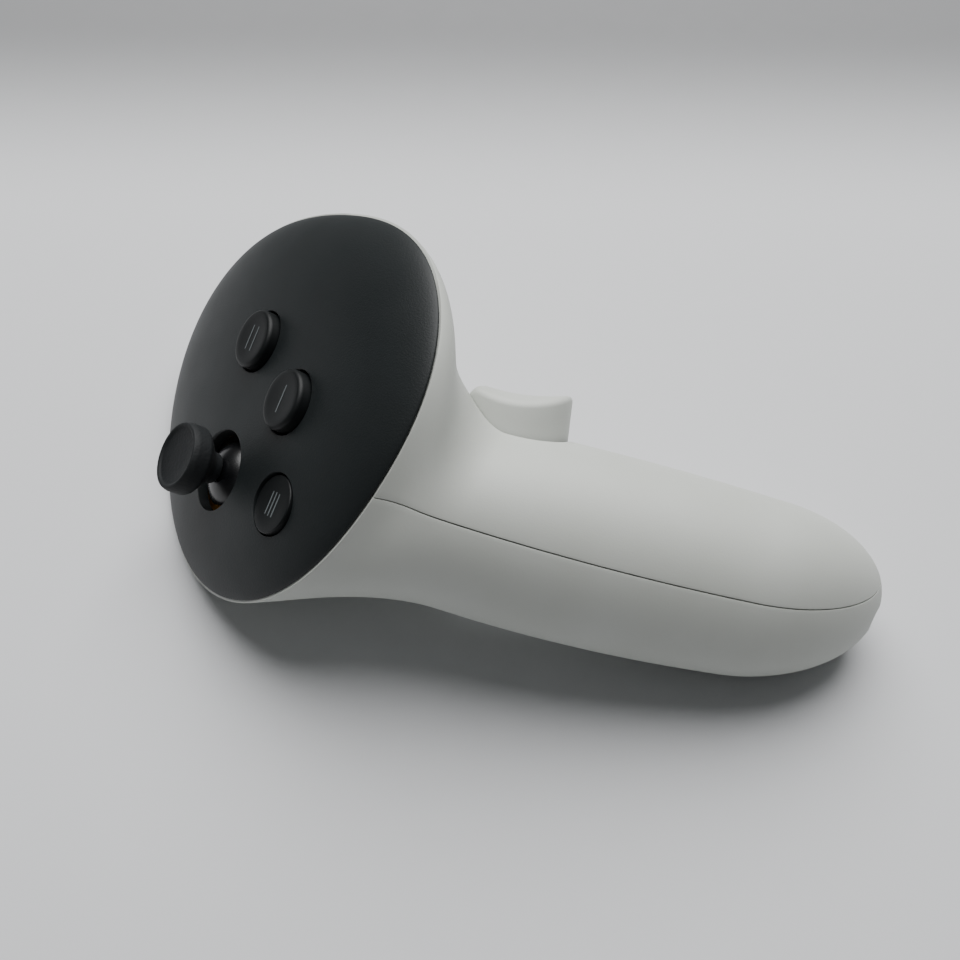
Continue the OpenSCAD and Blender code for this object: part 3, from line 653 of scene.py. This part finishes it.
def bars(name, at, h, boxes, turn=0.0):
    """Thin printed bars: each box is centre x, centre f, length, width."""
    bm = bmesh.new()
    for cx, cf, length, width in boxes:
        made = bmesh.ops.create_cube(bm, size=1.0)["verts"]
        bmesh.ops.scale(bm, vec=(length, width, 0.06), verts=made)
        bmesh.ops.translate(bm, vec=(cx, cf, 0), verts=made)
    place = on_face @ Matrix.Translation((at[0], at[1], h)) @ Matrix.Rotation(math.radians(turn), 4, "Z")
    bmesh.ops.transform(bm, matrix=place, verts=bm.verts[:])
    return make_object(name, bm)


KEY_RISE = 1.7
x_key = key_piece("x_cap", X_AT, KEY_R, KEY_RISE, 0.7)
y_key = key_piece("y_cap", Y_AT, KEY_R, KEY_RISE, 0.7)
menu_key = key_piece("menu_cap", MENU_AT, MENU_R, 0.02, 0.25)
finish_piece(x_key, "x_key", "face_plastic", key_abs, "x_button")
finish_piece(y_key, "y_key", "face_plastic", key_abs, "y_button")
finish_piece(menu_key, "menu_key", "face_plastic", key_abs, "menu_button")
x_mark = bars("x_mark", X_AT, face_height(*X_AT) + KEY_RISE - 0.12, [(0, 0, 4.6, 0.22)])
y_mark = bars("y_mark", Y_AT, face_height(*Y_AT) + KEY_RISE - 0.12,
              [(0, 0.8, 4.6, 0.22), (0, -0.8, 4.6, 0.22)])
menu_mark = bars("menu_mark", MENU_AT, face_height(*MENU_AT) - 0.1,
                 [(0, 0.95, 3.8, 0.26), (0, 0, 3.8, 0.26), (0, -0.95, 3.8, 0.26)])
finish_piece(x_mark, "x_key", "face_plastic", mark_ink)
finish_piece(y_mark, "y_key", "face_plastic", mark_ink)
finish_piece(menu_mark, "menu_key", "face_plastic", mark_ink)

# %% [markdown]
# ## Thumbstick
# The cap is spun: a shallow dish on top, a rounded rim, a straight grained side for the thumb
# and a taper down to the stem. A thin dome below it hides the gimbal and turns with the stick.

# %% Thumbstick
PIVOT_H = -2.6
stick_place = on_face @ Matrix.Translation((STICK_AT[0], STICK_AT[1], 0))
cap_line = rounded([(1.22, 4.7), (2.45, 4.7), (2.65, 6.1), (5.35, 8.5), (5.7, 9.0), (5.7, 11.2),
                    (5.4, 12.0), (4.95, 12.0), (4.6, 11.62), (2.5, 11.4), (0.0, 11.34)], 0.35)
cap = spun([(0, 9.6), (1.22, 9.6)] + cap_line, 128)
bmesh.ops.transform(cap, matrix=stick_place, verts=cap.verts[:])
stick_cap = make_object("stick_cap_grained", cap, 40)
finish_piece(stick_cap, "stick", "stick_rubber", stick_tpe, "stick_cap")



def dome_arc(radius, angles):
    """Points of an arc about the stick's pivot, at these angles from its axis in degrees."""
    return [(radius * math.sin(math.radians(a)), PIVOT_H + radius * math.cos(math.radians(a)))
            for a in angles]


DOME_R, DOME_T = 7.2, 0.6
dome_out = dome_arc(DOME_R, range(10, 49, 2))
dome_in = dome_arc(DOME_R - DOME_T, range(48, 10, -2))
dome = spun(dome_out + dome_in + [dome_out[0]], 96)
bmesh.ops.transform(dome, matrix=stick_place, verts=dome.verts[:])
dust_cover = make_object("stick_dome", dome, 50)
finish_piece(dust_cover, "stick", "black_plastic", cover_pc, "stick_dust_cover")

# %% [markdown]
# ## Grip button
# The middle finger pulls this key. Its top is a saddle: hollow along the handle, slightly
# rounded across it, and its head end falls away to meet the shell. It is lofted from rings of
# its outline, and the height at each point gives the saddle.

# %% Grip button


def grip_height(l, w):
    """The top of the key at l along the handle and w across it."""
    saddle = 5.4 + (l - 1.5) ** 2 / 60 - w * w / 50
    head = 5.9 - (-GRIP_L / 2 + 2.6 - l) * 1.4
    blend = 0.5
    return -blend * math.log(math.exp(-saddle / blend) + math.exp(-head / blend))


def grip_ring(scale, drop=0.0, flat=None):
    """A ring of the grip key, below its saddle by drop or at one flat height."""
    def place(i):
        p = lens(i, 128, scale=scale)
        h = flat if flat is not None else grip_height(p.x, p.y) - drop
        return GRIP_PLACE @ Vector((p.x, p.y, h))
    return place


ROUND_EDGE = 1.1
grip_rings = [grip_ring(s) for s in (0.06, 0.2, 0.35, 0.5, 0.62, 0.72, 0.8)]
for k in range(7):
    t = k / 6 * math.pi / 2
    inner = 1 - ROUND_EDGE / 8.5
    grip_rings.append(grip_ring(inner + (1 - inner) * math.sin(t), ROUND_EDGE * (1 - math.cos(t))))
grip_rings += [grip_ring(1.0, 3.0), grip_ring(1.0, flat=-2.7)]
grip_key = make_object("grip_key", ring_loft(128, grip_rings), 50)
finish_piece(grip_key, "grip", "shell_plastic", shell_abs, "grip_button")

# %% [markdown]
# ## Index trigger
# The forefinger's lever curves forward and ends in a lip. Each ring here is a rounded section
# across the lever, from its back face to its front, so the finger side is smooth both ways.

# %% Index trigger
FRONT = [(19.2, 5.4), (20.6, 1.5), (21.2, -4), (21.8, -9), (22.7, -14), (24.0, -17.8), (23.7, -19.1)]
BACK = [(12.0, 4.2), (11.8, -0.6), (13.4, -5), (15.5, -10), (18.0, -16.0), (21.0, -18.9), (22.4, -19.6)]


def smooth_line(points, t):
    """A point on a smooth curve through the points, t from 0 to 1."""
    x = t * (len(points) - 1)
    i = min(int(x), len(points) - 2)
    f = x - i
    p = [Vector(points[max(min(j, len(points) - 1), 0)]) for j in (i - 1, i, i + 1, i + 2)]
    return 0.5 * ((2 * p[1]) + (p[2] - p[0]) * f + (2 * p[0] - 5 * p[1] + 4 * p[2] - p[3]) * f**2
                  + (3 * p[1] - p[0] - 3 * p[2] + p[3]) * f**3)


def trigger_ring(t, shrink=1.0):
    """A rounded section of the trigger, t running from the pivot to the tip."""
    front, back = smooth_line(FRONT, t), smooth_line(BACK, t)

    def place(i):
        a = i * math.tau / 64
        c, s = math.cos(a), math.sin(a)
        n = 4.5
        r = (abs(c) ** n + abs(s) ** n) ** (-1 / n)
        across, deep = r * c * shrink, r * s * shrink
        reach = 0.5 + 0.5 * deep
        yz = back.lerp(front, reach)
        bulge = 2.6 * across * across * max(reach, 0)
        return Vector((0.5 + 7.45 * across, yz.x - bulge, yz.y))
    return place


ts = [i / 30 for i in range(31)]
trigger_rings = [trigger_ring(0.0, 0.55), trigger_ring(0.0, 0.85)] + [trigger_ring(t) for t in ts]
trigger_rings += [trigger_ring(1.0, 0.85), trigger_ring(1.0, 0.5)]
trigger = make_object("trigger_lever", ring_loft(64, trigger_rings), 50)
pivot = Matrix.Translation((0, 11, 1.5)) @ Matrix.Rotation(math.radians(90), 4, "Y")
carve(trigger, [rod("left_room", 4.2, 12, pivot @ Matrix.Translation((0, 0, -9))),
                rod("right_room", 4.2, 12, pivot @ Matrix.Translation((0, 0, 12.7))),
                rod("pin_bore", 1.06, 40, pivot)], 50)
finish_piece(trigger, "trigger", "shell_plastic", shell_abs, "index_trigger")

# %% [markdown]
# ## The pieces inside
# Most inner pieces keep their CAD shape and only need a finish. A metal gets fine brushing or
# plating grain, and a board gets solder mask with faint copper tracks under it.

# %% Materials of the inner pieces
inner_abs = moulded("grey_moulded_abs", "#55595d", "#5f6367", 0.5, 0.3, 0.02, 0.4)
white_pom = moulded("white_acetal", "#d2d2ce", "#dcdcd8", 0.35, 0.4, 0.01, 0.3)
chip_epoxy = moulded("black_chip_epoxy", "#161718", "#1d1e1f", 0.4, 0.15, 0.01, 0.4)
pad_silicone = moulded("grey_silicone", "#83878b", "#8f9397", 0.7, 0.3, 0.02, 0.5)
cell_sleeve = moulded("blue_grey_pet_sleeve", "#35536b", "#3f5f79", 0.28, 3.0, 0.01, 0.2)
polyimide = moulded("amber_polyimide_film", "#9a6a22", "#ab7a2e", 0.3, 1.0, 0.01, 0.2)


def plated(name, low, high, roughness, grain_mm=0.12):
    """Plated or drawn metal: fine directional streaks in its gloss and a light grain."""
    material, tree, shader, place = start_material(name, roughness, Metallic=1.0)
    tree.links.new(mottle(tree, place, 5, low, high), shader.inputs["Base Color"])
    stretch = add_node(tree, "ShaderNodeMapping", {"Scale": (1.0, 8.0, 8.0)}, Vector=place)
    streaks = grain(tree, stretch.outputs["Vector"], grain_mm * 6, 0.006, 0.35)
    tree.links.new(streaks, shader.inputs["Normal"])
    return material


def board(name, mask_low, mask_high):
    """A circuit board: glossy solder mask over faint raised tracks on a 1.2 mm pitch."""
    material, tree, shader, place = start_material(name, 0.3, Coat_Weight=0.4)
    tree.links.new(mottle(tree, place, 4, mask_low, mask_high), shader.inputs["Base Color"])
    cells = add_node(tree, "ShaderNodeTexBrick", {"Scale": 1000 / 2.4, "Mortar Size": 0.08}, Vector=place)
    bump = add_node(tree, "ShaderNodeBump", {"Strength": 0.5, "Distance": 0.03 * MM},
                    Height=cells.outputs["Fac"])
    tree.links.new(bump.outputs["Normal"], shader.inputs["Normal"])
    return material


spring_steel = plated("nickel_plated_steel", "#b0b3b7", "#bfc2c6", 0.3)
magnet_nickel = plated("nickel_plated_magnet", "#bcbec1", "#c8cacd", 0.18, 0.3)
bare_copper = plated("bare_copper", "#b5703c", "#c37f49", 0.35)
green_board = board("green_circuit_board", "#17432f", "#1d5038")

FINISHES = {
    "strap_eye": inner_abs, "battery_tray": inner_abs, "battery_cell": cell_sleeve,
    "contact_plus": spring_steel, "contact_spring": spring_steel, "main_board": green_board,
    "main_chips": chip_epoxy, "shield_can": spring_steel, "radio_antenna": bare_copper,
    "board_screws": spring_steel, "button_board": green_board, "dome_pad": pad_silicone,
    "led_ring": polyimide, "tracking_leds": cover_pc, "thumb_sensor": bare_copper,
    "stick_case": spring_steel, "stick_yoke": cover_pc, "stick_rocker": white_pom,
    "stick_shaft": spring_steel, "stick_sensor_x": chip_epoxy, "stick_sensor_y": chip_epoxy,
    "stick_click_switch": spring_steel, "trigger_bracket": inner_abs, "trigger_pin": spring_steel,
    "trigger_spring": spring_steel, "trigger_magnet": magnet_nickel, "trigger_sensor": chip_epoxy,
    "grip_bracket": inner_abs, "grip_pin": spring_steel, "grip_spring": spring_steel,
    "grip_magnet": magnet_nickel, "grip_sensor": chip_epoxy, "haptic_motor": spring_steel,
    "haptic_cradle": pad_silicone,
}
for node_name, material in FINISHES.items():
    node_object = bpy.data.objects[node_name]
    node_object.data.materials.clear()
    node_object.data.materials.append(material)
print("inner pieces with a finish:", len(FINISHES))

# %% [markdown]
# ## Table and light
# A pale table darkens softly on its far side, with painted shade in its colour. One large soft
# light above and behind leaves the lower side of the handle in shade, under a sky that is dim near
# the horizon. Only the camera sees that sky as a pale backdrop.

# %% Table and light
TABLE_HALF, FAR_SIDE = 3000, (-0.375, 0.927, 0.0)
table_bm = bmesh.new()
bmesh.ops.create_grid(table_bm, x_segments=1, y_segments=1, size=TABLE_HALF)
table = make_object("table", table_bm)
table.data.transform(Matrix.Scale(MM, 4))


def table_material():
    """Pale laminate with painted shade: its colour dims from 76 mm to 135 mm away on the far side."""
    paint = moulded("pale_grey_laminate", "#d6d7d9", "#d9dadc", 0.6, 2.0, 0.01, 0.05, patch_mm=400)
    tree = paint.node_tree
    colour = tree.nodes["Principled BSDF"].inputs["Base Color"]
    even = colour.links[0].from_socket
    place = add_node(tree, "ShaderNodeTexCoord").outputs["Object"]
    # Painted shade: the table's colour is scaled down to 0.32 of itself between 76 mm and 135 mm out on
    # the far side.
    away = add_node(tree, "ShaderNodeVectorMath", {"operation": "DOT_PRODUCT", 1: FAR_SIDE},
                    Vector=place).outputs["Value"]
    far_painted_shade = add_node(tree, "ShaderNodeMapRange",
                    {"interpolation_type": "SMOOTHSTEP", "From Min": 0.076, "From Max": 0.135,
                     "To Min": 1.0, "To Max": 0.32}, Value=away).outputs["Result"]
    painted_shade_colour = add_node(tree, "ShaderNodeVectorMath", {"operation": "SCALE"}, Vector=even, Scale=far_painted_shade)
    tree.links.new(painted_shade_colour.outputs["Vector"], colour)
    return paint


table.data.materials.append(table_material())


def soft_light(name, place, aim, size, watts):
    """A round area light at place that points at aim."""
    light = bpy.data.lights.new(name, "AREA")
    light.shape = "DISK"
    light.size = size
    light.energy = watts
    lamp = bpy.data.objects.new(name, light)
    bpy.context.collection.objects.link(lamp)
    lamp.location = place
    lamp.rotation_euler = (Vector(aim) - Vector(place)).to_track_quat("-Z", "Y").to_euler()


soft_light("key_above", (-0.13, 0.35, 0.64), (0.0, -0.01, 0), 0.9, 11.3)

world = bpy.data.worlds.new("room")
bpy.context.scene.world = world
world.use_nodes = True
tree = world.node_tree
sky = tree.nodes["Background"]
sky.inputs["Color"].default_value = linear("#dfe1e4")
direction = add_node(tree, "ShaderNodeTexCoord").outputs["Generated"]
up = add_node(tree, "ShaderNodeSeparateXYZ", Vector=direction).outputs["Z"]
glow = add_node(tree, "ShaderNodeMapRange", {"To Min": 0.0, "To Max": 0.2}, Value=up)
seen = add_node(tree, "ShaderNodeLightPath").outputs["Is Camera Ray"]
strength = add_node(tree, "ShaderNodeMix", {"B": 0.55}, Factor=seen, A=glow.outputs["Result"])
tree.links.new(strength.outputs["Result"], sky.inputs["Strength"])
